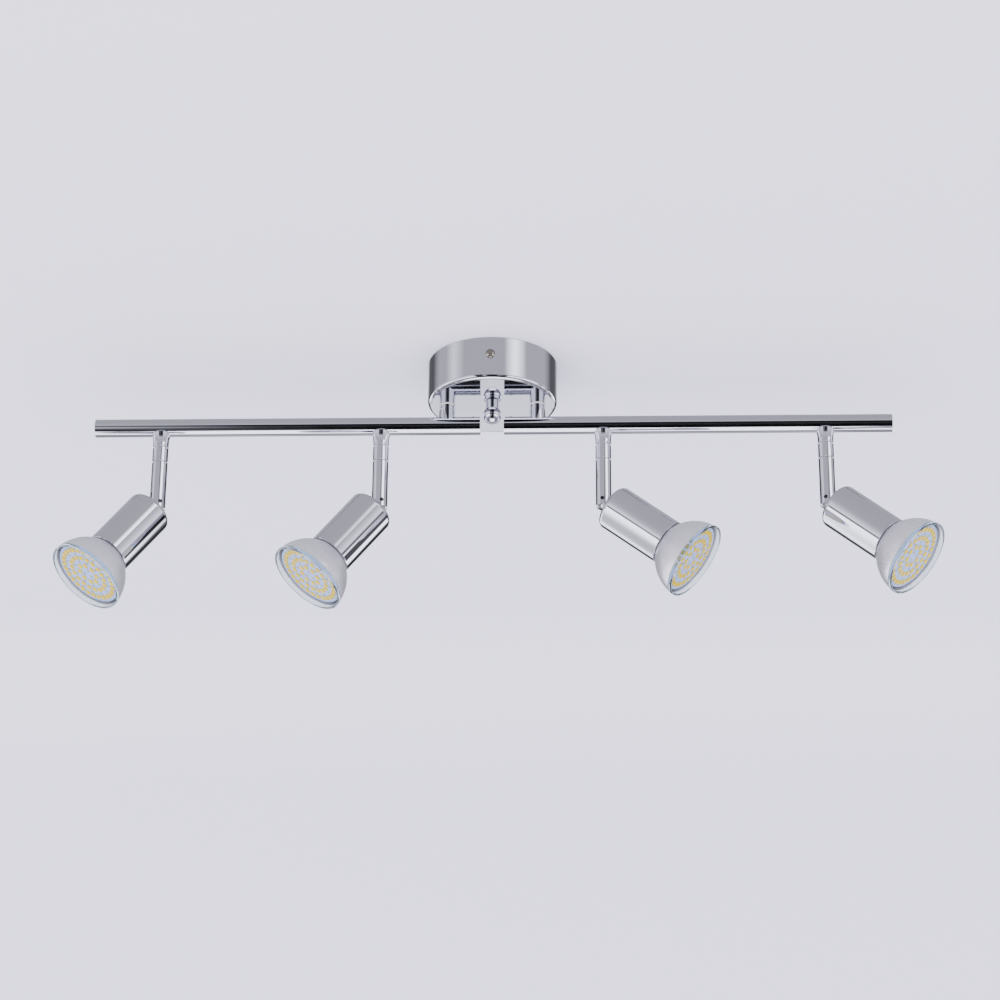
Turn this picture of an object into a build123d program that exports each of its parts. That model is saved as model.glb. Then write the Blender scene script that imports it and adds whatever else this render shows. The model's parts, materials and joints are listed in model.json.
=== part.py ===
from build123d import *
import os
from math import atan2, cos, degrees, radians, sin, sqrt

# Four-spot ceiling light: a round canopy carries two half-bars on vertical pivots, each half-bar
# carries two swivelling arms, and each arm carries a tilting barrel with a GU10 lamp.
# Millimetres, +Z up. The origin is the centre of the ceiling face, X runs along the bars,
# and -Y is the side that the heads lean towards.

os.makedirs("parts", exist_ok=True)

# canopy
canopy_radius = 41.0
canopy_height = 28.0
canopy_wall = 1.0
canopy_edge = 2.5

# mounting bracket inside the canopy
strap_width = 20.0
strap_length = 75.0
strap_thickness = 1.5
tab_width = 14.0
tab_drop = 17.0
ceiling_slot_spacing = 52.0
ceiling_slot_length = 11.0
ceiling_slot_width = 5.0
side_screw_height = -11.4
side_screw_radius = 1.95
side_screw_head_radius = 3.0
side_screw_head_height = 2.0
side_screw_rim = 0.6
side_screw_dome_radius = 2.16
side_screw_dome_height = 1.6
side_screw_length = 8.0
side_screw_play = 0.15
side_screw_slot_width = 0.9
side_screw_slot_depth = 1.0

# centre stud and ball nut
stud_radius = 2.0
stud_end = -35.5
stud_top = -0.1
stud_tip_space = 0.3
lock_nut_flats = 7.0
lock_nut_height = 3.2
ball_radius = 5.8
ball_height = -34.6
ball_neck_radius = 4.4

# wiring block and earth screw
block_size = (20.0, 12.0, 11.0)
block_centre_y = 12.0
terminal_pitch = 6.0
terminal_row = 3.0
terminal_hole_radius = 1.75
terminal_hole_depth = 4.0
terminal_screw_radius = 1.6
terminal_screw_recess = 0.4
terminal_slot_width = 0.6
terminal_slot_depth = 0.7
wire_entry_radius = 1.4
wire_entry_rise = 6.4
earth_screw_y = -12.0
earth_head_radius = 3.6
earth_head_height = 2.4
earth_slot_width = 1.0
earth_slot_depth = 0.9

# vertical pivots of the half-bars
pivot_x = 28.65
spindle_radius = 3.6
spindle_bore = 2.2
spindle_top = -20.5
spindle_head_radius = 4.2
spindle_head_top = -40.8
spindle_head_height = 1.6
spindle_nut_flats = 11.0
spindle_nut_height = 3.0
friction_washer = 0.5
collar_radius = 5.1

# half-bars
bar_height = -42.0
bar_radius = 5.7
bar_wall = 1.0
bar_inner_end = 7.5
bar_outer_end = 252.5
plug_cap = 0.8
plug_depth = 7.0
rivet_x = 11.8
rivet_radius = 0.8
rivet_head_radius = 1.5
rivet_head_height = 0.8
rivet_dome_radius = 1.75
rivet_length = 3.5

# arms
arm_places = (-210.3, -70.3, 70.3, 210.3)
arm_radius = 4.93
saddle_flare_radius = 5.75
saddle_top = -46.6
saddle_bottom = -56.7
saddle_bend_bulge = 0.12
saddle_bend_rise = 0.4
collar_bottom = -66.9
seam_gap = 0.1
seam_chamfer = 0.3
wire_radius = 1.8
neck_radius = 2.5
neck_rise = 0.6
spigot_radius = 3.2
spigot_flange_radius = 3.7
spigot_end = -76.2
spigot_flange_height = 1.2
arm_pocket_radius = 4.0
arm_pocket_play = 0.3
tilt_pin_height = -94.4
arm_end_radius = 6.3
slot_top = -88.0
slot_width = 3.0
slot_back = 3.4
pin_radius = 1.25
pin_recess = 0.45

# heads, all measured along the head's axis from the tilt pin
tongue_thickness = 2.6
tongue_half_width = 3.0
barrel_start = 6.6
barrel_end = 51.3
barrel_radius = 14.4
barrel_wall = 1.0
barrel_edge = 3.0
barrel_lip_chamfer = 0.3
tongue_stud_radius = 2.9
tongue_stud_end = 12.0
tongue_tip_space = 0.3
holder_radius = 11.0
holder_end = 21.0
holder_groove_start = 13.5
holder_hub_radius = 2.2
holder_groove_radius = 7.8
socket_starts = (34, 214)
socket_sweep = 92

# lamp
lamp_base_start = 21.3
lamp_base_radius = 10.6
lamp_body_start = 27.0
lamp_body_radius = 11.2
lamp_body_end = 46.0
contact_offset = 5.0
contact_radius = 1.5
contact_head_radius = 2.4
contact_head_height = 2.2
contact_end = 14.3
contact_depth = 3.5
contact_hole_depth = 4.0
cup_wall = 1.2
cup_neck_start = 38.0
cup_neck_radius = 12.9
cup_flare_start = 51.3
flare_bend = (0.66, 0.42)
rim_start = 70.7
rim_end = 73.7
rim_radius = 25.0
board_front = 70.0
board_thickness = 1.0
board_radius = 22.3
chip_size = 2.2
chip_height = 0.5
chip_rings = ((18.8, 28), (12.8, 18), (6.6, 8))

# rest pose of each head: compass direction of the lean, then the tilt away from straight down
head_azimuths = (209.0, 199.5, 349.5, 339.3)
head_tilts = (37.0, 38.0, 51.5, 48.6)

# clearances
thread_gap = 0.05
running_gap = 0.06
brazed_gap = 0.02
washer_gap = 0.05

BASE = (Align.CENTER, Align.CENTER, Align.MIN)


def rod(radius, low, high):
    """A cylinder on the Z axis from low to high."""
    return Pos(0, 0, low) * Cylinder(radius, high - low, align=BASE)


def ring(outer, inner, low, high):
    return rod(outer, low, high) - rod(inner, low - 1, high + 1)


def block(low, high):
    """A box between two corners."""
    size = [h - l for l, h in zip(low, high)]
    return Pos(*low) * Box(*size, align=(Align.MIN, Align.MIN, Align.MIN))


def turned(outline):
    """A solid of revolution about Z; the outline is drawn as (radius, height)."""
    return revolve(Plane.XZ * make_face(outline), Axis.Z)


def hexagon(flats, low, high):
    corner = flats / sqrt(3)
    prism = extrude(RegularPolygon(corner, 6), high - low)
    return Pos(0, 0, low) * prism


def group(solids):
    return Compound(children=list(solids))


def save(shape, node):
    export_step(shape, "parts/" + node + ".step")


# ---------------------------------------------------------------- canopy and bracket


def canopy_shell():
    inner = canopy_radius - canopy_wall
    corner = canopy_radius - canopy_edge
    turn = canopy_edge - canopy_height
    floor = canopy_wall - canopy_height
    outline = Line((0, -canopy_height), (corner, -canopy_height))
    outline += CenterArc((corner, turn), canopy_edge, -90, 90)
    outline += Line((canopy_radius, turn), (canopy_radius, 0))
    outline += Line((canopy_radius, 0), (inner, 0))
    outline += Line((inner, 0), (inner, turn))
    outline += CenterArc((corner, turn), canopy_edge - canopy_wall, 0, -90)
    outline += Line((corner, floor), (0, floor))
    outline += Line((0, floor), (0, -canopy_height))
    shell = turned(outline)
    shell -= rod(stud_radius + thread_gap, -canopy_height - 1, 0)
    for side in (-1, 1):
        hole = rod(spindle_radius + thread_gap, -canopy_height - 1, floor + 1)
        shell -= Pos(side * pivot_x, 0, 0) * hole
        shell -= side_bore(side, side_screw_radius + side_screw_play, canopy_radius + 1, inner - 2)
    return shell


def side_bore(side, radius, outer, inner):
    """A rod along Y at the side screws' height, on the front (-1) or the back (1)."""
    turn = Rot(X=-90 * side)
    return Pos(0, 0, side_screw_height) * turn * rod(radius, inner, outer)


def mounting_bracket():
    half = strap_length / 2
    strap = block((-strap_width / 2, -half, -strap_thickness), (strap_width / 2, half, 0))
    strap -= rod(stud_radius + thread_gap, -strap_thickness - 1, 1)
    strap -= Pos(0, earth_screw_y, 0) * rod(stud_radius + thread_gap, -strap_thickness - 1, 1)
    for side in (-1, 1):
        ends = sorted((side * half, side * (half - strap_thickness)))
        low = (-tab_width / 2, ends[0], -tab_drop)
        strap += block(low, (tab_width / 2, ends[1], -strap_thickness))
        strap -= side_bore(side, side_screw_radius + thread_gap, half + 1, half - 3)
        slot = SlotOverall(ceiling_slot_length, ceiling_slot_width, rotation=90)
        slot = extrude(slot, strap_thickness + 2)
        strap -= Pos(0, side * ceiling_slot_spacing / 2, -strap_thickness - 1) * slot
    return strap


def side_screw(side):
    """A slotted round-head screw through the canopy's wall into the bracket's tab."""
    wide = side_screw_head_radius
    rim = canopy_radius + side_screw_rim
    dome = (side_screw_dome_radius, canopy_radius + side_screw_dome_height)
    head_end = canopy_radius + side_screw_head_height
    outline = Line((0, canopy_radius), (wide, canopy_radius))
    outline += Line((wide, canopy_radius), (wide, rim))
    outline += ThreePointArc((wide, rim), dome, (0, head_end))
    outline += Line((0, head_end), (0, canopy_radius))
    half = side_screw_slot_width / 2
    slot_floor = head_end - side_screw_slot_depth
    head = turned(outline)
    head -= block((-half, -wide - 1, slot_floor), (half, wide + 1, head_end + 1))
    screw = head + rod(side_screw_radius, canopy_radius - side_screw_length, canopy_radius)
    return Pos(0, 0, side_screw_height) * Rot(X=-90 * side) * screw


def ball_cap_nut():
    sphere = Pos(0, 0, ball_height) * Sphere(ball_radius)
    sphere = sphere & rod(ball_radius + 1, ball_height - ball_radius - 1, -canopy_height)
    nut = sphere + rod(ball_neck_radius, ball_height, -canopy_height)
    return nut - rod(stud_radius + thread_gap, stud_end - stud_tip_space, -canopy_height + 1)


def stud_lock_nut():
    nut = hexagon(lock_nut_flats, -strap_thickness - lock_nut_height, -strap_thickness)
    return nut - rod(stud_radius + thread_gap, -strap_thickness - lock_nut_height - 1, 0)


def earth_screw():
    low = -strap_thickness - earth_head_height
    reach = earth_head_radius + 1
    half = earth_slot_width / 2
    head = rod(earth_head_radius, low, -strap_thickness)
    head -= block((-reach, -half, low - 1), (reach, half, low + earth_slot_depth))
    return Pos(0, earth_screw_y, 0) * (head + rod(stud_radius, -strap_thickness, stud_top))


def terminal_spots():
    """Centres of the six clamping screws on the block's lower face."""
    rows = (block_centre_y - terminal_row, block_centre_y + terminal_row)
    return [(x * terminal_pitch, y) for x in (-1, 0, 1) for y in rows]


def terminal_block():
    wide, deep, tall = block_size
    low = -strap_thickness - tall
    front = block_centre_y - deep / 2
    back = block_centre_y + deep / 2
    body = block((-wide / 2, front, low), (wide / 2, back, -strap_thickness))
    for x, y in terminal_spots():
        body -= Pos(x, y, 0) * rod(terminal_hole_radius, low - 1, low + terminal_hole_depth)
    for x in (-1, 0, 1):
        entry = Rot(X=90) * Cylinder(wire_entry_radius, deep + 2)
        body -= Pos(x * terminal_pitch, block_centre_y, low + wire_entry_rise) * entry
    return body


def terminal_screws():
    low = -strap_thickness - block_size[2]
    head = low + terminal_screw_recess
    half = terminal_slot_width / 2
    reach = terminal_screw_radius + 1
    screws = []
    for x, y in terminal_spots():
        screw = rod(terminal_screw_radius, head, low + terminal_hole_depth)
        screw -= block((-reach, -half, low), (reach, half, head + terminal_slot_depth))
        screws.append(Pos(x, y, 0) * screw)
    return group(screws)


# ---------------------------------------------------------------- pivots of the half-bars


def pivot_spindle():
    """A hollow spindle, clamped through the canopy, that carries one half-bar."""
    spindle = rod(spindle_radius, spindle_head_top, spindle_top)
    spindle += rod(spindle_head_radius, spindle_head_top - spindle_head_height, spindle_head_top)
    return spindle - rod(spindle_bore, spindle_head_top - 5, spindle_top + 1)


def spindle_nut():
    low = canopy_wall - canopy_height
    nut = hexagon(spindle_nut_flats, low, low + spindle_nut_height)
    return nut - rod(spindle_radius + thread_gap, low - 1, low + spindle_nut_height + 1)


def both_pivots(solid):
    return group([Pos(side * pivot_x, 0, 0) * solid for side in (-1, 1)])


def bar_cylinder(radius, start, end):
    """A rod along X at the half-bars' height."""
    return Pos(start, 0, bar_height) * Rot(Y=90) * rod(radius, 0, end - start)


def bar_collar():
    """The short upright sleeve that is brazed on the tube and turns on the spindle."""
    top = -canopy_height - friction_washer - washer_gap
    sleeve = ring(collar_radius, spindle_radius + running_gap, bar_height, top)
    return sleeve - bar_cylinder(bar_radius + brazed_gap, -collar_radius - 5, collar_radius + 5)


def bar_tube():
    """The right half-bar's tube; the left one is its mirror image."""
    start = bar_inner_end + plug_cap
    end = bar_outer_end - plug_cap
    tube = bar_cylinder(bar_radius, start, end)
    tube -= bar_cylinder(bar_radius - bar_wall, start - 1, end + 1)
    top = bar_height + bar_radius + 1
    tube -= Pos(pivot_x, 0, 0) * rod(spindle_radius + running_gap, bar_height, top)
    tube -= Pos(rivet_x, 0, 0) * rod(rivet_radius + thread_gap, bar_height, top)
    for place in arm_places[2:]:
        neck_hole = rod(neck_radius + thread_gap, bar_height - bar_radius - 1, bar_height)
        tube -= Pos(place, 0, 0) * neck_hole
    return tube


def bar_plugs():
    """The inner and the outer end plug of the right half-bar."""
    spigot = bar_radius - bar_wall - thread_gap
    inner = bar_cylinder(bar_radius, bar_inner_end, bar_inner_end + plug_cap)
    inner += bar_cylinder(spigot, bar_inner_end + plug_cap, bar_inner_end + plug_depth)
    inner -= Pos(rivet_x, 0, 0) * rod(rivet_radius + thread_gap, bar_height, bar_height + bar_radius)
    outer = bar_cylinder(bar_radius, bar_outer_end - plug_cap, bar_outer_end)
    outer += bar_cylinder(spigot, bar_outer_end - plug_depth, bar_outer_end - plug_cap)
    return [inner, outer]


def plug_rivet():
    top = bar_height + bar_radius
    rivet = rod(rivet_radius, top - rivet_length, top)
    dome = Pos(0, 0, top + rivet_head_height - rivet_dome_radius) * Sphere(rivet_dome_radius)
    rivet += dome & rod(rivet_head_radius, top, top + rivet_head_height)
    return Pos(rivet_x, 0, 0) * rivet


# ---------------------------------------------------------------- arms


def spot_saddle():
    """The flared stub brazed under the tube, shaped to hug it."""
    middle = (saddle_top + saddle_bottom) / 2 + saddle_bend_rise
    bend = (arm_radius + saddle_bend_bulge, middle)
    narrow = arm_radius - seam_chamfer
    start = (arm_radius, saddle_bottom + seam_chamfer)
    outline = Line((0, saddle_bottom), (narrow, saddle_bottom))
    outline += Line((narrow, saddle_bottom), start)
    outline += ThreePointArc(start, bend, (saddle_flare_radius, saddle_top))
    outline += Line((saddle_flare_radius, saddle_top), (0, saddle_top))
    outline += Line((0, saddle_top), (0, saddle_bottom))
    saddle = turned(outline)
    saddle -= bar_cylinder(bar_radius + brazed_gap, -saddle_flare_radius - 3, saddle_flare_radius + 3)
    return saddle - rod(neck_radius + thread_gap, saddle_bottom - 1, saddle_top + 1)


def swivel_collar():
    """The collar under the saddle: a neck up into the saddle, a flanged spigot down into the arm."""
    top = saddle_bottom
    low = collar_bottom + seam_gap
    outline = Polyline(
        (0, low),
        (arm_radius - seam_chamfer, low),
        (arm_radius, low + seam_chamfer),
        (arm_radius, top - seam_chamfer),
        (arm_radius - seam_chamfer, top),
        (0, top),
        close=True,
    )
    collar = turned(outline)
    collar += rod(neck_radius, top, bar_height - bar_radius + neck_rise)
    collar += rod(spigot_radius, spigot_end, low)
    collar += rod(spigot_flange_radius, spigot_end, spigot_end + spigot_flange_height)
    return collar - rod(wire_radius, spigot_end - 1, saddle_top + 3)


def arm_end_profile():
    """The arm's outer outline: chamfered top, bottom rounded about the tilt pin."""
    side_drop = sqrt(arm_end_radius**2 - arm_radius**2)
    low = tilt_pin_height - side_drop
    start = -degrees(atan2(side_drop, arm_radius))
    outline = Line((0, collar_bottom), (arm_radius - seam_chamfer, collar_bottom))
    outline += Line((arm_radius - seam_chamfer, collar_bottom), (arm_radius, collar_bottom - seam_chamfer))
    outline += Line((arm_radius, collar_bottom - seam_chamfer), (arm_radius, low))
    outline += CenterArc((0, tilt_pin_height), arm_end_radius, start, -90 - start)
    outline += Line((0, tilt_pin_height - arm_end_radius), (0, collar_bottom))
    return outline


def arm_fork():
    """The arm in its own frame: on the Z axis, with its slot open towards +X and downwards."""
    arm = turned(arm_end_profile())
    pocket_top = spigot_end + spigot_flange_height + arm_pocket_play
    arm -= rod(spigot_radius + running_gap, pocket_top - 1, collar_bottom + 1)
    arm -= rod(arm_pocket_radius, spigot_end - 1, pocket_top)
    arm -= rod(wire_radius, slot_top - 1, spigot_end)
    low = tilt_pin_height - arm_end_radius - 1
    arm -= block((-slot_back, -slot_width / 2, low), (arm_radius + 1, slot_width / 2, slot_top))
    return arm - tilt_pin_rod(pin_radius + thread_gap, arm_radius + 1)


def tilt_pin_rod(radius, half_length):
    return Pos(0, 0, tilt_pin_height) * Rot(X=90) * Cylinder(radius, 2 * half_length)


def tilt_pin():
    half = arm_radius - pin_recess
    return tilt_pin_rod(pin_radius, half)


# ---------------------------------------------------------------- heads, built along +Z from the pin


def head_tongue():
    """The flat tongue on the pin, with the round stud that holds the barrel and the lampholder."""
    half = tongue_half_width
    flat = block((-half, -tongue_thickness / 2, 0), (half, tongue_thickness / 2, barrel_start))
    eye = Rot(X=90) * Cylinder(half, tongue_thickness)
    tongue = flat + eye + rod(tongue_stud_radius, barrel_start, tongue_stud_end)
    return tongue - Rot(X=90) * Cylinder(pin_radius + running_gap, tongue_thickness + 2)


def head_barrel():
    inner = barrel_radius - barrel_wall
    corner = barrel_radius - barrel_edge
    turn = barrel_start + barrel_edge
    floor = barrel_start + barrel_wall
    hole = tongue_stud_radius + thread_gap
    lip = barrel_end - barrel_lip_chamfer
    lip_radius = barrel_radius - barrel_lip_chamfer
    outline = Line((hole, barrel_start), (corner, barrel_start))
    outline += CenterArc((corner, turn), barrel_edge, -90, 90)
    outline += Line((barrel_radius, turn), (barrel_radius, lip))
    outline += Line((barrel_radius, lip), (lip_radius, barrel_end))
    outline += Line((lip_radius, barrel_end), (inner, barrel_end))
    outline += Line((inner, barrel_end), (inner, turn))
    outline += CenterArc((corner, turn), barrel_edge - barrel_wall, 0, -90)
    outline += Line((corner, floor), (hole, floor))
    outline += Line((hole, floor), (hole, barrel_start))
    return turned(outline)


def wedge(start, end, low, high):
    """A pie slice about Z between two compass angles."""
    reach = 2 * holder_radius
    angles = (start, (start + end) / 2, end)
    rays = [(reach * cos(radians(a)), reach * sin(radians(a))) for a in angles]
    face = make_face(Polyline((0, 0), *rays, close=True))
    return Pos(0, 0, low) * extrude(face, high - low)


def head_lampholder():
    """The ceramic holder: two curved sockets that let the lamp's contacts turn by 20 degrees."""
    floor = barrel_start + barrel_wall
    holder = rod(holder_radius, floor, holder_end)
    holder -= rod(tongue_stud_radius + thread_gap, floor - 1, tongue_stud_end + tongue_tip_space)
    sockets = ring(holder_groove_radius, holder_hub_radius, holder_groove_start, holder_end + 1)
    for start in socket_starts:
        sockets -= wedge(start, start + socket_sweep, holder_groove_start - 1, holder_end + 2)
    return holder - sockets


# ---------------------------------------------------------------- lamps, in the heads' frame


def lamp_base():
    """The plastic body that carries the contacts, with the driver inside."""
    base = rod(lamp_base_radius, lamp_base_start, lamp_body_start)
    base += rod(lamp_body_radius, lamp_body_start, lamp_body_end)
    hole_end = lamp_base_start + contact_hole_depth
    hole = rod(contact_radius + thread_gap, lamp_base_start - 1, hole_end)
    for side in (-1, 1):
        base -= Pos(side * contact_offset, 0, 0) * hole
    return base


def lamp_contacts():
    pin = rod(contact_radius, contact_end + contact_head_height, lamp_base_start + contact_depth)
    pin += rod(contact_head_radius, contact_end, contact_end + contact_head_height)
    return group([Pos(side * contact_offset, 0, 0) * pin for side in (-1, 1)])


def flare_middle(neck, rim):
    """The point that the bowl's curve passes through between the neck and the rim."""
    across, along = flare_bend
    rise = rim_start - cup_flare_start
    return (neck + (rim - neck) * across, cup_flare_start + rise * along)


def lamp_cup():
    """The glass bowl with its plain round lip."""
    neck = cup_neck_radius
    inner_neck = neck - cup_wall
    inner_rim = rim_radius - cup_wall
    outline = Line((inner_neck, cup_neck_start), (neck, cup_neck_start))
    outline += Line((neck, cup_neck_start), (neck, cup_flare_start))
    outline += ThreePointArc(
        (neck, cup_flare_start), flare_middle(neck, rim_radius), (rim_radius, rim_start)
    )
    outline += Line((rim_radius, rim_start), (rim_radius, rim_end))
    outline += Line((rim_radius, rim_end), (inner_rim, rim_end))
    outline += Line((inner_rim, rim_end), (inner_rim, rim_start))
    middle = flare_middle(inner_neck, inner_rim)
    outline += ThreePointArc((inner_rim, rim_start), middle, (inner_neck, cup_flare_start))
    outline += Line((inner_neck, cup_flare_start), (inner_neck, cup_neck_start))
    return turned(outline)


def lamp_board():
    """The round board with its three rings of light chips."""
    board = rod(board_radius, board_front - board_thickness, board_front)
    for radius, count in chip_rings:
        for index in range(count):
            turn = Rot(Z=360 / count * index)
            chip = Box(chip_size, chip_size, chip_height + 0.1, align=BASE)
            board += turn * Pos(radius, 0, board_front - 0.1) * chip
    return board


# ---------------------------------------------------------------- places


def arm_place(index):
    return Pos(arm_places[index], 0, 0) * Rot(Z=head_azimuths[index])


def head_place(index):
    """Puts a head built along +Z on its pin, leaning by its tilt in its arm's slot plane."""
    pin = Pos(0, 0, tilt_pin_height)
    return arm_place(index) * pin * Rot(Y=180 - head_tilts[index])


def make_root():
    save(canopy_shell(), "canopy_shell")
    save(mounting_bracket(), "mounting_bracket")
    save(group([side_screw(-1), side_screw(1)]), "side_screws")
    save(rod(stud_radius, stud_end, stud_top), "centre_stud")
    save(stud_lock_nut(), "stud_lock_nut")
    save(ball_cap_nut(), "ball_cap_nut")
    save(earth_screw(), "earth_screw")
    save(terminal_block(), "terminal_block")
    save(terminal_screws(), "terminal_screws")
    save(both_pivots(pivot_spindle()), "pivot_spindles")
    save(both_pivots(spindle_nut()), "spindle_nuts")
    low = -canopy_height - friction_washer
    washer = ring(collar_radius, spindle_radius + thread_gap, low, -canopy_height)
    save(both_pivots(washer), "friction_washers")


def make_bars():
    places = arm_places[2:]
    saddles = [Pos(x, 0, 0) * spot_saddle() for x in places]
    collars = [Pos(x, 0, 0) * swivel_collar() for x in places]
    pieces = {
        "bar_tube": [bar_tube()],
        "bar_collar": [Pos(pivot_x, 0, 0) * bar_collar()],
        "bar_plugs": bar_plugs(),
        "plug_rivet": [plug_rivet()],
        "spot_saddles": saddles,
        "swivel_collars": collars,
    }
    for name, solids in pieces.items():
        save(group(solids), name + "_right")
        save(group([mirror(s, Plane.YZ) for s in solids]), name + "_left")


def make_spots():
    parts_on_arm = {"arm_fork": arm_fork(), "tilt_pin": tilt_pin()}
    parts_on_head = {
        "head_tongue": head_tongue(),
        "head_barrel": head_barrel(),
        "lampholder": head_lampholder(),
        "lamp_base": lamp_base(),
        "lamp_contacts": lamp_contacts(),
        "lamp_cup": lamp_cup(),
        "lamp_board": lamp_board(),
    }
    for index in range(4):
        number = "_" + str(index + 1)
        for name, solid in parts_on_arm.items():
            save(arm_place(index) * solid, name + number)
        for name, solid in parts_on_head.items():
            save(head_place(index) * solid, name + number)


make_root()
make_bars()
make_spots()
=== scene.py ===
"""Looks of a ceiling bar light: plated metal, reflector lamps with light-chip faces, and a studio."""
import json
import math

import bmesh
import bpy
from mathutils import Matrix, Vector


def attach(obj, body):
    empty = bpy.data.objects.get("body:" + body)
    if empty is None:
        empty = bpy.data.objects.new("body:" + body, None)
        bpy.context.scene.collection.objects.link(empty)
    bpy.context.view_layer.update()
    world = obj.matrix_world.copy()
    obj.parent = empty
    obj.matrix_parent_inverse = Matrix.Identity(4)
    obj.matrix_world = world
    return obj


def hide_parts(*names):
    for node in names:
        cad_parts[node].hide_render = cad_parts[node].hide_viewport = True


bl_info = {
    "name": "Ceiling Bar Light",
    "version": (1, 0, 0),
    "blender": (4, 5, 0),
    "location": "View3D > Sidebar > Bar Light",
    "description": "Finishes the plated parts and builds the reflector lamps of a ceiling bar light",
    "category": "Object",
}

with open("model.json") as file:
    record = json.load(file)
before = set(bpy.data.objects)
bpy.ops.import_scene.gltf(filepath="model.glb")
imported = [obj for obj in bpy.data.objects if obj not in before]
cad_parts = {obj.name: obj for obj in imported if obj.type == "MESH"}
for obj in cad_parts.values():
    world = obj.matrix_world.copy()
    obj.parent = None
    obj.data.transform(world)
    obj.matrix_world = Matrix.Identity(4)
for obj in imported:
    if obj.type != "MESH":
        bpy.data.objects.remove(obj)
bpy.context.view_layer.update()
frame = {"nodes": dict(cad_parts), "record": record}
NODES = frame["nodes"]
JOINTS = {joint["name"]: joint for joint in frame["record"]["behaviour"]["joints"]}
NUMBERS = ("1", "2", "3", "4")
SIDES = ("left", "right")
MM = 0.001

# meshing of turned pieces
TURN_STEPS = 128
CURVE_STEPS = 20
ON_AXIS = 1e-6
SHARP_ANGLE = math.radians(38)

# a Mix node's colour sockets
MIX_FIRST, MIX_SECOND, MIX_RESULT = 6, 7, 2

# rings on the lamp's face: (radius in millimetres, count)
CHIP_RINGS = ((18.8, 28), (12.8, 18), (6.6, 8))
COMPONENT_RINGS = ((15.9, 14), (9.7, 9), (3.0, 3))
COMPONENT_BLOCK = (0.8, 1.5, 0.35)
WINDOW_SHARE = 0.9
WINDOW_PROUD = 0.1

# where the bowl's curve bulges, as shares of its width and height
BOWL_BEND = (0.66, 0.42)


# ---------------------------------------------------------------- what a user can change


def size(name, description, default):
    """A length in millimetres."""
    return bpy.props.FloatProperty(name=name, description=description, default=default, min=0.01)


def colour(name, description, default):
    """A linear colour."""
    return bpy.props.FloatVectorProperty(
        name=name, description=description, default=default, subtype="COLOR", min=0.0, max=1.0
    )


class BarLightFinishes(bpy.types.PropertyGroup):
    chrome: colour("Chrome", "Tint of the bright plating", (0.63, 0.63, 0.695))
    zinc: colour("Zinc", "Pressed steel inside the canopy", (0.52, 0.54, 0.56))
    brass: colour("Brass", "Clamping and earth screws", (0.60, 0.42, 0.16))
    tongue: colour("Tongue", "Warm plated tongue in the arm's slot", (0.46, 0.34, 0.17))
    nickel: colour("Nickel", "Warm plating of the canopy's side screws", (0.34, 0.31, 0.27))
    dark: colour("Pin", "Oiled tilt pins", (0.05, 0.05, 0.055))
    nylon: colour("Nylon", "Moulded insulating parts", (0.78, 0.78, 0.75))
    ceramic: colour("Ceramic", "Fired lampholder", (0.74, 0.72, 0.66))
    bowl: colour("Bowl", "Silver frosting of the lamp's bowl", (0.62, 0.61, 0.655))
    lip: colour("Lip", "Clear glass lip of the lamp", (0.72, 0.82, 0.80))
    board: colour("Board", "Lamp face between the chips", (0.28, 0.37, 0.62))
    chip: colour("Chip window", "Phosphor window of a light chip", (0.60, 0.42, 0.0))
    chip_case: colour("Chip case", "Moulded frame of a light chip", (0.55, 0.43, 0.06))
    component: colour("Component", "Small parts between the chips", (0.25, 0.27, 0.30))


class BarLightLampSizes(bpy.types.PropertyGroup):
    neck_radius: size("Neck radius", "Radius of the bowl's neck, in millimetres", 12.9)
    neck_start: size("Neck start", "From the tilt pin to the neck's end, in millimetres", 38.0)
    flare_start: size("Flare start", "From the tilt pin to the flare, in millimetres", 51.3)
    rim_radius: size("Rim radius", "Radius of the lip, in millimetres", 25.0)
    rim_start: size("Rim start", "From the tilt pin to the lip, in millimetres", 70.7)
    rim_end: size("Rim end", "From the tilt pin to the lip's edge, in millimetres", 73.7)
    wall: size("Wall", "Thickness of the glass, in millimetres", 1.2)
    board_radius: size("Board radius", "Radius of the lamp's face, in millimetres", 22.3)
    board_front: size("Board front", "From the tilt pin to the lamp's face, in millimetres", 70.0)
    chip_width: size("Chip width", "Side of a square light chip, in millimetres", 3.0)
    chip_height: size("Chip height", "How far a chip stands proud, in millimetres", 0.5)


class BarLightStudio(bpy.types.PropertyGroup):
    camera_place: bpy.props.FloatVectorProperty(
        name="Camera", description="Where the camera stands", subtype="XYZ",
        default=(0.0649, -1.6638, -0.8267), unit="LENGTH",
    )
    yaw: bpy.props.FloatProperty(
        name="Yaw", description="Camera's turn to the right", default=-0.03578, subtype="ANGLE"
    )
    pitch: bpy.props.FloatProperty(
        name="Pitch", description="Camera's tilt upwards", default=0.41486, subtype="ANGLE"
    )
    roll: bpy.props.FloatProperty(
        name="Roll", description="Camera's roll", default=0.00815, subtype="ANGLE"
    )
    lens: bpy.props.FloatProperty(
        name="Lens", description="Focal length on a 36 mm sensor", default=104.45, unit="CAMERA"
    )
    wall: bpy.props.FloatProperty(
        name="Wall", description="From the canopy back to the wall", default=0.525, unit="LENGTH"
    )
    room: colour("Room", "Pale paint of the ceiling and wall", (0.75, 0.745, 0.85))


def finishes():
    return bpy.context.scene.bar_light_finishes


def lamp_sizes():
    return bpy.context.scene.bar_light_lamp


def studio():
    return bpy.context.scene.bar_light_studio


# ---------------------------------------------------------------- shader groups


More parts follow.
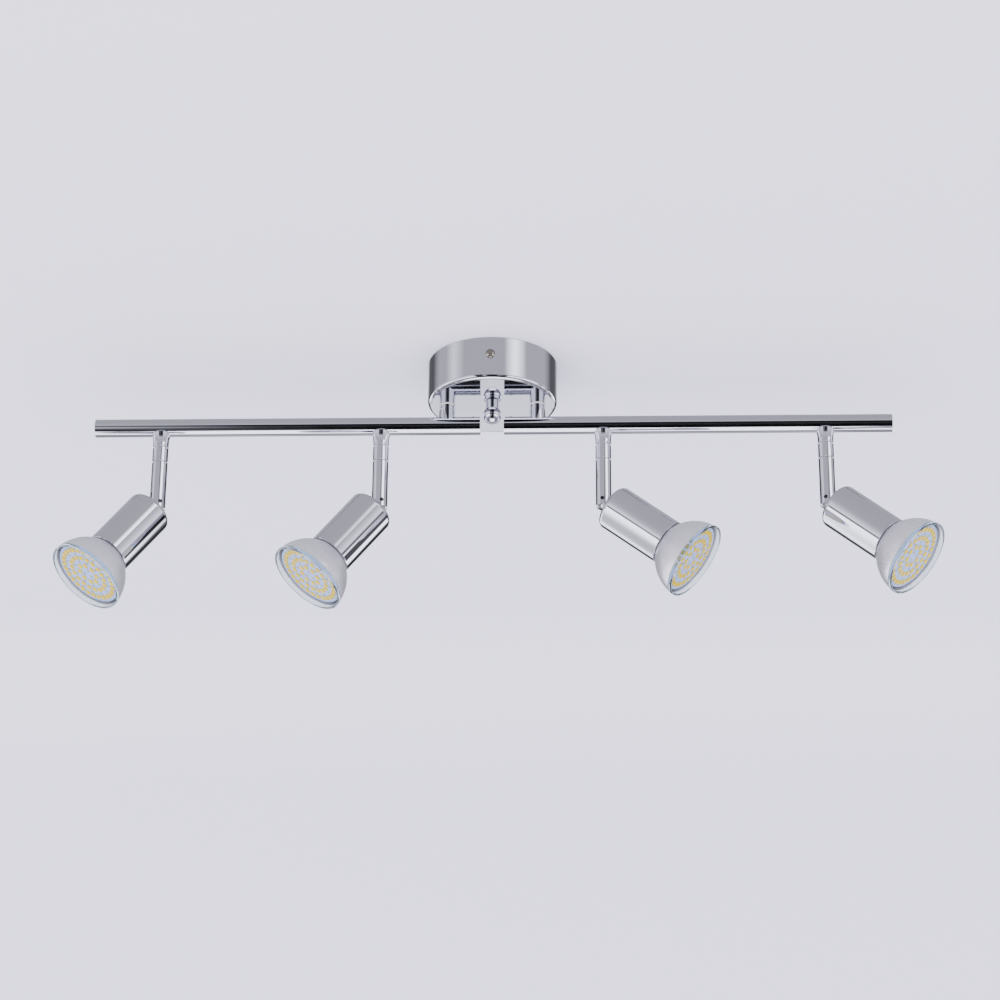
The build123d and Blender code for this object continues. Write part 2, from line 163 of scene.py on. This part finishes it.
def new_group(name, inputs, outputs):
    """A shader group with float or colour sockets; gives its tree and both ends."""
    tree = bpy.data.node_groups.new(name, "ShaderNodeTree")
    kinds = {"value": "NodeSocketFloat", "colour": "NodeSocketColor"}
    for label, kind, default in inputs:
        socket = tree.interface.new_socket(label, in_out="INPUT", socket_type=kinds[kind])
        socket.default_value = default
    for label, kind in outputs:
        tree.interface.new_socket(label, in_out="OUTPUT", socket_type=kinds[kind])
    start = tree.nodes.new("NodeGroupInput")
    end = tree.nodes.new("NodeGroupOutput")
    return tree, start, end


def noise_in(tree, detail):
    """Noise that is fixed to the piece."""
    place = tree.nodes.new("ShaderNodeTexCoord")
    noise = tree.nodes.new("ShaderNodeTexNoise")
    noise.inputs["Detail"].default_value = detail
    tree.links.new(place.outputs["Object"], noise.inputs["Vector"])
    return noise


def haze_group():
    """Slow changes of gloss, as on handled or plated surfaces."""
    inputs = (("Scale", "value", 60.0), ("Lowest", "value", 0.05), ("Highest", "value", 0.1))
    tree, start, end = new_group("surface_haze", inputs, (("Roughness", "value"),))
    noise = noise_in(tree, 4.0)
    spread = tree.nodes.new("ShaderNodeMapRange")
    spread.inputs["From Min"].default_value = 0.35
    spread.inputs["From Max"].default_value = 0.65
    tree.links.new(start.outputs["Scale"], noise.inputs["Scale"])
    tree.links.new(noise.outputs["Fac"], spread.inputs["Value"])
    tree.links.new(start.outputs["Lowest"], spread.inputs["To Min"])
    tree.links.new(start.outputs["Highest"], spread.inputs["To Max"])
    tree.links.new(spread.outputs["Result"], end.inputs["Roughness"])
    return tree


def grain_group():
    """Fine relief: moulded texture, frosting or brushing."""
    inputs = (("Scale", "value", 900.0),)
    tree, start, end = new_group("fine_grain", inputs, (("Height", "value"),))
    noise = noise_in(tree, 2.0)
    tree.links.new(start.outputs["Scale"], noise.inputs["Scale"])
    tree.links.new(noise.outputs["Fac"], end.inputs["Height"])
    return tree


def tone_group():
    """A colour that drifts towards a darker tone in soft patches."""
    inputs = (
        ("Colour", "colour", (1.0, 1.0, 1.0, 1.0)),
        ("Shade", "colour", (0.5, 0.5, 0.5, 1.0)),
        ("Scale", "value", 40.0),
    )
    tree, start, end = new_group("tone_drift", inputs, (("Colour", "colour"),))
    noise = noise_in(tree, 5.0)
    blend = tree.nodes.new("ShaderNodeMix")
    blend.data_type = "RGBA"
    tree.links.new(start.outputs["Scale"], noise.inputs["Scale"])
    tree.links.new(noise.outputs["Fac"], blend.inputs["Factor"])
    tree.links.new(start.outputs["Colour"], blend.inputs[MIX_FIRST])
    tree.links.new(start.outputs["Shade"], blend.inputs[MIX_SECOND])
    tree.links.new(blend.outputs[MIX_RESULT], end.inputs["Colour"])
    return tree


SHARED = {}


def shared(name):
    """A shader group, built the first time that it is asked for."""
    makers = {"haze": haze_group, "grain": grain_group, "tone": tone_group}
    if name not in SHARED:
        SHARED[name] = makers[name]()
    return SHARED[name]


def finish_material(name, tint, gloss, patches, drift, metallic=0.0, grain=0.0, grain_scale=900.0):
    """A surface with drifting tone, uneven gloss and, where asked, fine relief.

    gloss is the lowest and highest roughness, patches the noise scale of tone and gloss, and
    drift the share of the tint that the darkest tone keeps.
    """
    if name in bpy.data.materials:
        return bpy.data.materials[name]
    material = bpy.data.materials.new(name)
    material.use_nodes = True
    nodes = material.node_tree.nodes
    links = material.node_tree.links
    surface = nodes["Principled BSDF"]
    surface.inputs["Metallic"].default_value = metallic
    tone = nodes.new("ShaderNodeGroup")
    tone.node_tree = shared("tone")
    tone.inputs["Colour"].default_value = (*tint, 1.0)
    tone.inputs["Shade"].default_value = (*[part * drift for part in tint], 1.0)
    tone.inputs["Scale"].default_value = patches
    haze = nodes.new("ShaderNodeGroup")
    haze.node_tree = shared("haze")
    haze.inputs["Scale"].default_value = patches
    haze.inputs["Lowest"].default_value = gloss[0]
    haze.inputs["Highest"].default_value = gloss[1]
    links.new(tone.outputs["Colour"], surface.inputs["Base Color"])
    links.new(haze.outputs["Roughness"], surface.inputs["Roughness"])
    if grain > 0.0:
        relief = nodes.new("ShaderNodeGroup")
        relief.node_tree = shared("grain")
        relief.inputs["Scale"].default_value = grain_scale
        bump = nodes.new("ShaderNodeBump")
        bump.inputs["Strength"].default_value = grain
        bump.inputs["Distance"].default_value = 0.1 * MM
        links.new(relief.outputs["Height"], bump.inputs["Height"])
        links.new(bump.outputs["Normal"], surface.inputs["Normal"])
    return material


def plated(name, tint, gloss, patches, drift, grain=0.0):
    """Bare or plated metal."""
    return finish_material(name, tint, gloss, patches, drift, metallic=1.0, grain=grain)


def dulled(material):
    """The same finish with a weak mirror shine, so that its own colour shows in bright light."""
    material.node_tree.nodes["Principled BSDF"].inputs["Specular IOR Level"].default_value = 0.12
    return material


def chrome():
    return plated("bright_chrome", finishes().chrome, gloss=(0.03, 0.07), patches=45.0, drift=0.97)


def zinc():
    return plated("zinc_plate", finishes().zinc, (0.28, 0.42), patches=180.0, drift=0.82, grain=0.2)


def brass():
    return plated("turned_brass", finishes().brass, (0.2, 0.32), patches=250.0, drift=0.8, grain=0.15)


def nickel():
    return plated("side_screw_nickel", finishes().nickel, (0.10, 0.18), patches=300.0, drift=0.7, grain=0.1)


def tongue_metal():
    return plated("warm_plate", finishes().tongue, (0.24, 0.36), patches=300.0, drift=0.75, grain=0.2)


def pin_metal():
    return plated("oiled_steel", finishes().dark, (0.3, 0.45), patches=300.0, drift=0.7, grain=0.15)


def nylon():
    return finish_material("moulded_nylon", finishes().nylon, (0.4, 0.5), 150.0, 0.94, grain=0.2)


def ceramic():
    return finish_material(
        "fired_ceramic", finishes().ceramic, (0.3, 0.45), 120.0, 0.9, grain=0.3, grain_scale=1600.0
    )


def frosting():
    """Silvered glass with a fine frost under a thin clear coat."""
    material = finish_material(
        "silver_frosting", finishes().bowl, (0.26, 0.34), 70.0, 0.95,
        metallic=0.65, grain=0.25, grain_scale=2600.0,
    )
    material.node_tree.nodes["Principled BSDF"].inputs["Coat Weight"].default_value = 0.3
    return material


def clear_glass():
    material = finish_material("lip_glass", finishes().lip, (0.02, 0.05), 90.0, 0.97)
    surface = material.node_tree.nodes["Principled BSDF"]
    surface.inputs["Transmission Weight"].default_value = 1.0
    surface.inputs["IOR"].default_value = 1.5
    return material


def board_mask():
    return dulled(finish_material("board_lacquer", finishes().board, (0.3, 0.42), 160.0, 0.92, grain=0.1))


def chip_window():
    return dulled(finish_material("chip_phosphor", finishes().chip, (0.25, 0.35), 500.0, 0.86))


def chip_case():
    return dulled(finish_material("chip_case", finishes().chip_case, (0.4, 0.5), 400.0, 0.93))


def component_grey():
    return finish_material("board_component", finishes().component, (0.35, 0.45), 400.0, 0.8)


def coat(names, material):
    """Gives carried-over nodes their finish."""
    for name in names:
        slots = NODES[name].data.materials
        slots.clear()
        slots.append(material)


# ---------------------------------------------------------------- mesh helpers


def arc_through(start, middle, end, steps):
    """Points of the circle through three points, from start to end."""
    (ax, ay), (bx, by), (cx, cy) = start, middle, end
    d = 2 * (ax * (by - cy) + bx * (cy - ay) + cx * (ay - by))
    a, b, c = ax * ax + ay * ay, bx * bx + by * by, cx * cx + cy * cy
    ox = (a * (by - cy) + b * (cy - ay) + c * (ay - by)) / d
    oy = (a * (cx - bx) + b * (ax - cx) + c * (bx - ax)) / d
    first = math.atan2(ay - oy, ax - ox)
    sweep = math.atan2(cy - oy, cx - ox) - first
    sweep = (sweep + math.pi) % (2 * math.pi) - math.pi
    radius = math.hypot(ax - ox, ay - oy)
    angles = [first + sweep * step / steps for step in range(steps + 1)]
    return [(ox + radius * math.cos(t), oy + radius * math.sin(t)) for t in angles]


def turned(name, outline, place, material):
    """A closed outline of (radius, height) points in millimetres, turned about Z and put in place."""
    mesh = bpy.data.meshes.new(name)
    form = bmesh.new()
    rings = []
    for radius, height in outline:
        if radius < ON_AXIS:
            rings.append([form.verts.new((0, 0, height * MM))] * TURN_STEPS)
            continue
        turns = [2 * math.pi * step / TURN_STEPS for step in range(TURN_STEPS)]
        across = radius * MM
        rings.append(
            [form.verts.new((across * math.cos(t), across * math.sin(t), height * MM)) for t in turns]
        )
    for index, ring in enumerate(rings):
        following = rings[(index + 1) % len(rings)]
        for step in range(TURN_STEPS):
            after = (step + 1) % TURN_STEPS
            corners = []
            for vert in (ring[step], ring[after], following[after], following[step]):
                if vert not in corners:
                    corners.append(vert)
            if len(corners) > 2:
                form.faces.new(corners)
    bmesh.ops.recalc_face_normals(form, faces=form.faces)
    form.to_mesh(mesh)
    form.free()
    mesh.transform(place)
    mesh.shade_smooth()
    mesh.set_sharp_from_angle(angle=SHARP_ANGLE)
    mesh.materials.append(material)
    piece = bpy.data.objects.new(name, mesh)
    bpy.context.collection.objects.link(piece)
    return piece


def head_place(number):
    """The head's own frame: origin on the tilt pin, Z along the lamp."""
    twist = JOINTS["lamp_twist_" + number]
    along = Vector(twist["axis"]).normalized()
    across = -Vector(JOINTS["head_tilt_" + number]["axis"]).normalized()
    turn = Matrix((across.cross(along), across, along)).transposed().to_4x4()
    return Matrix.Translation(Vector(twist["pos_m"])) @ turn


def bowl_outline(s):
    """The glass wall's section, from its neck to the lip and back inside."""
    rise = s.rim_start - s.flare_start

    def curve(neck, rim):
        middle = (neck + (rim - neck) * BOWL_BEND[0], s.flare_start + rise * BOWL_BEND[1])
        return arc_through((neck, s.flare_start), middle, (rim, s.rim_start), CURVE_STEPS)

    inner_neck = s.neck_radius - s.wall
    set_back = 0.3
    outer = curve(s.neck_radius, s.rim_radius - set_back)
    inner = curve(inner_neck, s.rim_radius - s.wall)
    return [(inner_neck, s.neck_start), (s.neck_radius, s.neck_start)] + outer + inner[::-1]


def lip_outline(s):
    """The clear lip's section: softened outside, rounded over its front edge."""
    edge = s.rim_radius
    inside = edge - s.wall
    foot = s.rim_start + 0.02
    shoulder = s.rim_end - 0.6
    brow = s.rim_end - 0.15
    return [
        (inside, foot), (edge - 0.3, foot), (edge - 0.05, s.rim_start + 0.3),
        (edge, s.rim_start + 0.8), (edge, shoulder), (edge - 0.2, brow),
        (edge - 0.6, s.rim_end), (inside + 0.2, brow), (inside, shoulder),
    ]


def board_outline(s):
    """The lamp face's section: a disc with eased edges."""
    ease = 0.15
    front, back, rim = s.board_front, s.board_front - 1.0, s.board_radius
    return [
        (0, back), (rim - ease, back), (rim, back + ease),
        (rim, front - ease), (rim - ease, front), (0, front),
    ]


# ---------------------------------------------------------------- rings of light chips


def chip_ring_tree():
    """Places small square blocks round a circle, each turned to face outwards."""
    tree = bpy.data.node_groups.new("chip_ring", "GeometryNodeTree")
    sockets = (
        ("Count", "NodeSocketInt"),
        ("Ring Radius", "NodeSocketFloat"),
        ("Block Size", "NodeSocketVector"),
        ("Finish", "NodeSocketMaterial"),
    )
    for label, kind in sockets:
        tree.interface.new_socket(label, in_out="INPUT", socket_type=kind)
    tree.interface.new_socket("Geometry", in_out="OUTPUT", socket_type="NodeSocketGeometry")
    nodes, links = tree.nodes, tree.links
    start = nodes.new("NodeGroupInput")
    end = nodes.new("NodeGroupOutput")
    circle = nodes.new("GeometryNodeMeshCircle")
    block = nodes.new("GeometryNodeMeshCube")
    position = nodes.new("GeometryNodeInputPosition")
    facing = nodes.new("FunctionNodeAlignRotationToVector")
    facing.axis = "X"
    spread = nodes.new("GeometryNodeInstanceOnPoints")
    realize = nodes.new("GeometryNodeRealizeInstances")
    paint = nodes.new("GeometryNodeSetMaterial")
    links.new(start.outputs["Count"], circle.inputs["Vertices"])
    links.new(start.outputs["Ring Radius"], circle.inputs["Radius"])
    links.new(start.outputs["Block Size"], block.inputs["Size"])
    links.new(position.outputs["Position"], facing.inputs["Vector"])
    links.new(circle.outputs["Mesh"], spread.inputs["Points"])
    links.new(block.outputs["Mesh"], spread.inputs["Instance"])
    links.new(facing.outputs["Rotation"], spread.inputs["Rotation"])
    links.new(spread.outputs["Instances"], realize.inputs["Geometry"])
    links.new(realize.outputs["Geometry"], paint.inputs["Geometry"])
    links.new(start.outputs["Finish"], paint.inputs["Material"])
    links.new(paint.outputs["Geometry"], end.inputs["Geometry"])
    return tree


def chip_rings(name, tree, rings, block, base, place, material):
    """One plain mesh of all the rings, standing on the board."""
    whole = bmesh.new()
    for radius, count in rings:
        carrier = bpy.data.objects.new(name + "_ring", bpy.data.meshes.new(name + "_ring"))
        bpy.context.collection.objects.link(carrier)
        modifier = carrier.modifiers.new("chip_ring", "NODES")
        modifier.node_group = tree
        values = {
            "Count": count,
            "Ring Radius": radius * MM,
            "Block Size": [part * MM for part in block],
            "Finish": material,
        }
        for item in tree.interface.items_tree:
            if item.in_out == "INPUT":
                modifier[item.identifier] = values[item.name]
        carrier.update_tag()
        graph = bpy.context.evaluated_depsgraph_get()
        mesh = bpy.data.meshes.new_from_object(carrier.evaluated_get(graph))
        carrier.modifiers.clear()
        whole.from_mesh(mesh)
        bpy.data.objects.remove(carrier)
    mesh = bpy.data.meshes.new(name)
    whole.to_mesh(mesh)
    whole.free()
    mesh.transform(place @ Matrix.Translation((0, 0, (base + block[2] / 2) * MM)))
    mesh.materials.append(material)
    piece = bpy.data.objects.new(name, mesh)
    bpy.context.collection.objects.link(piece)
    return piece


# ---------------------------------------------------------------- operators


class BARLIGHT_OT_canopy(bpy.types.Operator):
    """Plate the canopy, its side screws and the ball nut"""

    bl_idname = "barlight.canopy"
    bl_label = "Canopy"

    def execute(self, context):
        coat(("canopy_shell", "ball_cap_nut"), chrome())
        coat(("side_screws",), nickel())
        return {"FINISHED"}


class BARLIGHT_OT_hardware(bpy.types.Operator):
    """Finish the bracket, spindles, nuts and wiring parts inside the canopy"""

    bl_idname = "barlight.hardware"
    bl_label = "Canopy Hardware"

    def execute(self, context):
        coat(("mounting_bracket", "centre_stud", "stud_lock_nut", "pivot_spindles", "spindle_nuts"), zinc())
        coat(("earth_screw", "terminal_screws"), brass())
        coat(("terminal_block", "friction_washers"), nylon())
        return {"FINISHED"}


class BARLIGHT_OT_half_bars(bpy.types.Operator):
    """Plate both half-bars with their plugs, rivets, saddles and collars"""

    bl_idname = "barlight.half_bars"
    bl_label = "Half-Bars"

    def execute(self, context):
        kinds = ("bar_tube", "bar_collar", "bar_plugs", "plug_rivet", "spot_saddles", "swivel_collars")
        coat([kind + "_" + side for kind in kinds for side in SIDES], chrome())
        return {"FINISHED"}


class BARLIGHT_OT_arms(bpy.types.Operator):
    """Plate the arms and blacken their tilt pins"""

    bl_idname = "barlight.arms"
    bl_label = "Arms"

    def execute(self, context):
        coat(["arm_fork_" + number for number in NUMBERS], chrome())
        coat(["tilt_pin_" + number for number in NUMBERS], pin_metal())
        return {"FINISHED"}


class BARLIGHT_OT_heads(bpy.types.Operator):
    """Plate the barrels and finish their tongues and lampholders"""

    bl_idname = "barlight.heads"
    bl_label = "Heads"

    def execute(self, context):
        coat(["head_barrel_" + number for number in NUMBERS], chrome())
        coat(["head_tongue_" + number for number in NUMBERS], tongue_metal())
        coat(["lampholder_" + number for number in NUMBERS], ceramic())
        coat(["lamp_base_" + number for number in NUMBERS], nylon())
        coat(["lamp_contacts_" + number for number in NUMBERS], zinc())
        return {"FINISHED"}


class BARLIGHT_OT_bowls(bpy.types.Operator):
    """Build each lamp's frosted bowl and its clear lip"""

    bl_idname = "barlight.bowls"
    bl_label = "Lamp Bowls"

    def execute(self, context):
        bowl = bowl_outline(lamp_sizes())
        lip = lip_outline(lamp_sizes())
        for number in NUMBERS:
            place = head_place(number)
            piece = turned("lamp_bowl_" + number, bowl, place, frosting())
            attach(piece, "lamp_" + number)
            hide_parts("lamp_cup_" + number)
            ring = turned("lamp_lip_" + number, lip, place, clear_glass())
            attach(ring, "lamp_" + number)
        return {"FINISHED"}


class BARLIGHT_OT_faces(bpy.types.Operator):
    """Build each lamp's board with its rings of light chips"""

    bl_idname = "barlight.faces"
    bl_label = "Lamp Faces"

    def execute(self, context):
        s = lamp_sizes()
        tree = chip_ring_tree()
        wide, tall, front = s.chip_width, s.chip_height, s.board_front
        window = wide * WINDOW_SHARE
        kinds = (
            ("chip_cases_", CHIP_RINGS, (wide, wide, tall - WINDOW_PROUD), chip_case()),
            ("chip_windows_", CHIP_RINGS, (window, window, tall), chip_window()),
            ("board_components_", COMPONENT_RINGS, COMPONENT_BLOCK, component_grey()),
        )
        for number in NUMBERS:
            place = head_place(number)
            board = turned("lamp_face_" + number, board_outline(s), place, board_mask())
            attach(board, "lamp_" + number)
            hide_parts("lamp_board_" + number)
            for name, rings, block, material in kinds:
                piece = chip_rings(name + number, tree, rings, block, front, place, material)
                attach(piece, "lamp_" + number)
        return {"FINISHED"}


# ---------------------------------------------------------------- studio


def room_material():
    """Pale paint that shows only from the room's side."""
    material = bpy.data.materials.new("room_paint")
    material.use_nodes = True
    nodes = material.node_tree.nodes
    links = material.node_tree.links
    surface = nodes["Principled BSDF"]
    surface.inputs["Base Color"].default_value = (*studio().room, 1.0)
    surface.inputs["Roughness"].default_value = 0.9
    surface.inputs["Specular IOR Level"].default_value = 0.1
    side = nodes.new("ShaderNodeNewGeometry")
    clear = nodes.new("ShaderNodeBsdfTransparent")
    blend = nodes.new("ShaderNodeMixShader")
    links.new(side.outputs["Backfacing"], blend.inputs["Fac"])
    links.new(surface.outputs["BSDF"], blend.inputs[1])
    links.new(clear.outputs["BSDF"], blend.inputs[2])
    links.new(blend.outputs["Shader"], nodes["Material Output"].inputs["Surface"])
    return material


def build_room():
    """The ceiling and the wall behind, joined by a small cove."""
    reach, depth, front = 4.0, 3.0, -4.0
    cove, cove_steps = 0.10, 8
    lift = 0.0004
    back = studio().wall
    outline = [(front, lift), (back - cove, lift)]
    for step in range(1, cove_steps + 1):
        t = math.pi / 2 * step / cove_steps
        outline.append((back - cove + cove * math.sin(t), lift - cove + cove * math.cos(t)))
    outline.append((back, -depth))
    verts = [(x, y, z) for y, z in outline for x in (-reach, reach)]
    faces = [(2 * i, 2 * i + 2, 2 * i + 3, 2 * i + 1) for i in range(len(outline) - 1)]
    mesh = bpy.data.meshes.new("room")
    mesh.from_pydata(verts, [], faces)
    mesh.shade_smooth()
    mesh.materials.append(room_material())
    room = bpy.data.objects.new("room", mesh)
    bpy.context.collection.objects.link(room)
    room.visible_glossy = False


def ramp_node(nodes, stops):
    """A grey ramp through (place, value) stops."""
    ramp = nodes.new("ShaderNodeValToRGB")
    elements = ramp.color_ramp.elements
    while len(elements) > 1:
        elements.remove(elements[-1])
    elements[0].position = stops[0][0]
    elements[0].color = (*[stops[0][1]] * 3, 1.0)
    for place, value in stops[1:]:
        elements.new(place).color = (value, value, value, 1.0)
    return ramp


def band(start, full, last, end, value=1.0):
    """Stops of a ramp that rises to a value, holds it and falls back to nothing."""
    return ((start, 0.0), (full, value), (last, value), (end, 0.0))


def both_sides(stops):
    """The stops and their mirror image."""
    return stops + tuple((1.0 - place, value) for place, value in reversed(stops))


# What only reflections see, as ramps of (place, value) stops. Those by direction run round the
# light: 0.25 is its left, 0.5 its front, 0.75 its right, 0 and 1 its back. Those by rise, the
# spans among them, run from straight down at 0 to straight up at 1.
ROOM_BY_RISE = (
    (0.0, 0.90), (0.035, 0.90), (0.06, 0.10), (0.20, 0.10), (0.27, 0.30), (0.34, 0.80),
    (0.43, 1.0), (0.450, 0.05), (0.475, 0.05), (0.50, 0.42), (0.58, 0.27), (0.66, 0.17),
    (0.75, 0.15), (1.0, 0.14),
)
STREAKS = (
    (0.25, 0.0), (0.30, 0.20), (0.36, 0.0), (0.565, 0.0), (0.61, 0.50), (0.625, 0.50), (0.68, 0.0),
)
STREAK_SPAN = band(0.66, 0.69, 0.73, 0.77)
ARM_GLINT = band(0.60, 0.62, 0.67, 0.70, 0.7)
ARM_SPAN = band(0.684, 0.690, 0.708, 0.713)
FRONT_CARD = (
    (0.415, 0.0), (0.428, 0.97), (0.456, 0.97), (0.464, 0.72), (0.472, 0.80),
    (0.481, 0.99), (0.525, 0.99), (0.533, 0.90), (0.572, 0.97), (0.585, 0.0),
)
BACK_CARD = ((0.075, 0.93), (0.10, 0.0), (0.90, 0.0), (0.925, 0.93))
ARM_LINES = (
    band(0.10, 0.12, 0.17, 0.20, 0.85) + band(0.53, 0.55, 0.575, 0.59, 0.75)
    + band(0.80, 0.83, 0.88, 0.90, 0.85)
)
DARK_CARDS = (
    (FRONT_CARD, band(0.04, 0.06, 0.58, 0.62)),
    (band(0.73, 0.745, 0.815, 0.83, 0.97), band(0.36, 0.39, 0.53, 0.55)),
    (BACK_CARD, band(0.31, 0.34, 0.58, 0.66)),
    (both_sides(band(0.03, 0.08, 0.14, 0.20, 0.8)), STREAK_SPAN),
    (both_sides(band(0.045, 0.065, 0.17, 0.20, 0.92)), band(0.46, 0.49, 0.655, 0.685)),
    (ARM_LINES, ARM_SPAN),
)
MIRRORED_TINT, MIRRORED_STRENGTH = (0.91, 0.915, 1.0), 5.0
ROOM_LIGHT_TINT, ROOM_LIGHT_STRENGTH = (0.96, 0.955, 1.0), 3.1
BACKDROP_TINT, BACKDROP_STRENGTH = (0.84, 0.84, 1.0), 2.35


def reflected_bands(nodes, links):
    """How bright the studio is in each direction, for reflections."""
    place = nodes.new("ShaderNodeTexCoord")
    split = nodes.new("ShaderNodeSeparateXYZ")
    links.new(place.outputs["Generated"], split.inputs["Vector"])

    def maths(operation, first, second):
        node = nodes.new("ShaderNodeMath")
        node.operation = operation
        for socket, value in zip(node.inputs, (first, second)):
            if isinstance(value, (int, float)):
                socket.default_value = value
            else:
                links.new(value, socket)
        return node.outputs[0]

    def ramp(share, stops):
        node = ramp_node(nodes, stops)
        links.new(share, node.inputs["Fac"])
        return node.outputs["Color"]

    forwards = maths("MULTIPLY", split.outputs["Y"], -1.0)
    turn = maths("ARCTAN2", split.outputs["X"], forwards)
    across = maths("ADD", maths("DIVIDE", turn, 2 * math.pi), 0.5)
    rise = maths("ADD", maths("DIVIDE", split.outputs["Z"], 2.0), 0.5)

    def patch(stops, span):
        return maths("MULTIPLY", ramp(across, stops), ramp(rise, span))

    lit = maths("ADD", ramp(rise, ROOM_BY_RISE), patch(STREAKS, STREAK_SPAN))
    for card, span in DARK_CARDS:
        lit = maths("MULTIPLY", lit, maths("SUBTRACT", 1.0, patch(card, span)))
    return maths("ADD", lit, patch(ARM_GLINT, ARM_SPAN))


def background(nodes, tint, strength):
    """Light of one colour from every direction."""
    node = nodes.new("ShaderNodeBackground")
    node.inputs["Color"].default_value = (*tint, 1.0)
    node.inputs["Strength"].default_value = strength
    return node


def build_light():
    """Even pale light, a plain backdrop, and bands that only reflections see."""
    world = bpy.data.worlds.new("studio_light")
    bpy.context.scene.world = world
    world.use_nodes = True
    nodes = world.node_tree.nodes
    links = world.node_tree.links
    nodes.clear()
    out = nodes.new("ShaderNodeOutputWorld")
    mirrored = nodes.new("ShaderNodeBackground")
    mirrored.inputs["Strength"].default_value = MIRRORED_STRENGTH
    room_light = background(nodes, ROOM_LIGHT_TINT, ROOM_LIGHT_STRENGTH)
    backdrop = background(nodes, BACKDROP_TINT, BACKDROP_STRENGTH)
    cool = nodes.new("ShaderNodeMix")
    cool.data_type = "RGBA"
    cool.inputs[MIX_FIRST].default_value = (0.0, 0.0, 0.0, 1.0)
    cool.inputs[MIX_SECOND].default_value = (*MIRRORED_TINT, 1.0)
    links.new(reflected_bands(nodes, links), cool.inputs["Factor"])
    links.new(cool.outputs[MIX_RESULT], mirrored.inputs["Color"])
    path = nodes.new("ShaderNodeLightPath")
    shader = room_light.outputs["Background"]
    for ray, other in (("Is Glossy Ray", mirrored), ("Is Camera Ray", backdrop)):
        blend = nodes.new("ShaderNodeMixShader")
        links.new(path.outputs[ray], blend.inputs["Fac"])
        links.new(shader, blend.inputs[1])
        links.new(other.outputs["Background"], blend.inputs[2])
        shader = blend.outputs["Shader"]
    links.new(shader, out.inputs["Surface"])


def build_camera():
    s = studio()
    ahead = Vector((
        math.sin(s.yaw) * math.cos(s.pitch), math.cos(s.yaw) * math.cos(s.pitch), math.sin(s.pitch)
    ))
    level = Vector((math.cos(s.yaw), -math.sin(s.yaw), 0.0))
    rise = level.cross(ahead)
    right = level * math.cos(s.roll) + rise * math.sin(s.roll)
    up = rise * math.cos(s.roll) - level * math.sin(s.roll)
    data = bpy.data.cameras.new("view_camera")
    data.lens = s.lens
    data.sensor_width = 36.0
    data.clip_end = 50.0
    camera = bpy.data.objects.new("view_camera", data)
    turn = Matrix((right, up, -ahead)).transposed().to_4x4()
    camera.matrix_world = Matrix.Translation(Vector(s.camera_place)) @ turn
    bpy.context.collection.objects.link(camera)
    bpy.context.scene.camera = camera


def soft_light(name, place, target, width, watts):
    """A square light that reflections don't see."""
    data = bpy.data.lights.new(name, "AREA")
    data.size = width
    data.energy = watts
    lamp = bpy.data.objects.new(name, data)
    lamp.location = place
    lamp.rotation_euler = (Vector(target) - Vector(place)).to_track_quat("-Z", "Y").to_euler()
    lamp.visible_glossy = False
    bpy.context.collection.objects.link(lamp)


class BARLIGHT_OT_studio(bpy.types.Operator):
    """Build the pale room, the light and the camera"""

    bl_idname = "barlight.studio"
    bl_label = "Studio"

    def execute(self, context):
        build_room()
        build_light()
        build_camera()
        soft_light("soft_key", (-1.2, -1.4, -1.2), (0, 0, -0.05), 1.6, 10.0)
        return {"FINISHED"}


class BARLIGHT_PT_panel(bpy.types.Panel):
    """Lists the light's pieces and the sizes that can be changed"""

    bl_idname = "BARLIGHT_PT_panel"
    bl_label = "Bar Light"
    bl_space_type = "VIEW_3D"
    bl_region_type = "UI"
    bl_category = "Bar Light"

    def draw(self, context):
        for operator in OPERATORS:
            self.layout.operator(operator.bl_idname)
        for group in (finishes(), lamp_sizes(), studio()):
            box = self.layout.box()
            for name in group.__annotations__:
                box.prop(group, name)


GROUPS = (BarLightFinishes, BarLightLampSizes, BarLightStudio)
OPERATORS = (
    BARLIGHT_OT_studio,
    BARLIGHT_OT_canopy,
    BARLIGHT_OT_hardware,
    BARLIGHT_OT_half_bars,
    BARLIGHT_OT_arms,
    BARLIGHT_OT_heads,
    BARLIGHT_OT_bowls,
    BARLIGHT_OT_faces,
)
CLASSES = GROUPS + OPERATORS + (BARLIGHT_PT_panel,)


def register():
    for cls in CLASSES:
        bpy.utils.register_class(cls)
    scene = bpy.types.Scene
    scene.bar_light_finishes = bpy.props.PointerProperty(type=BarLightFinishes)
    scene.bar_light_lamp = bpy.props.PointerProperty(type=BarLightLampSizes)
    scene.bar_light_studio = bpy.props.PointerProperty(type=BarLightStudio)


def unregister():
    scene = bpy.types.Scene
    del scene.bar_light_studio
    del scene.bar_light_lamp
    del scene.bar_light_finishes
    for cls in reversed(CLASSES):
        bpy.utils.unregister_class(cls)


def main():
    register()
    for operator in OPERATORS:
        group, name = operator.bl_idname.split(".")
        getattr(getattr(bpy.ops, group), name)()


if __name__ == "__main__":
    main()
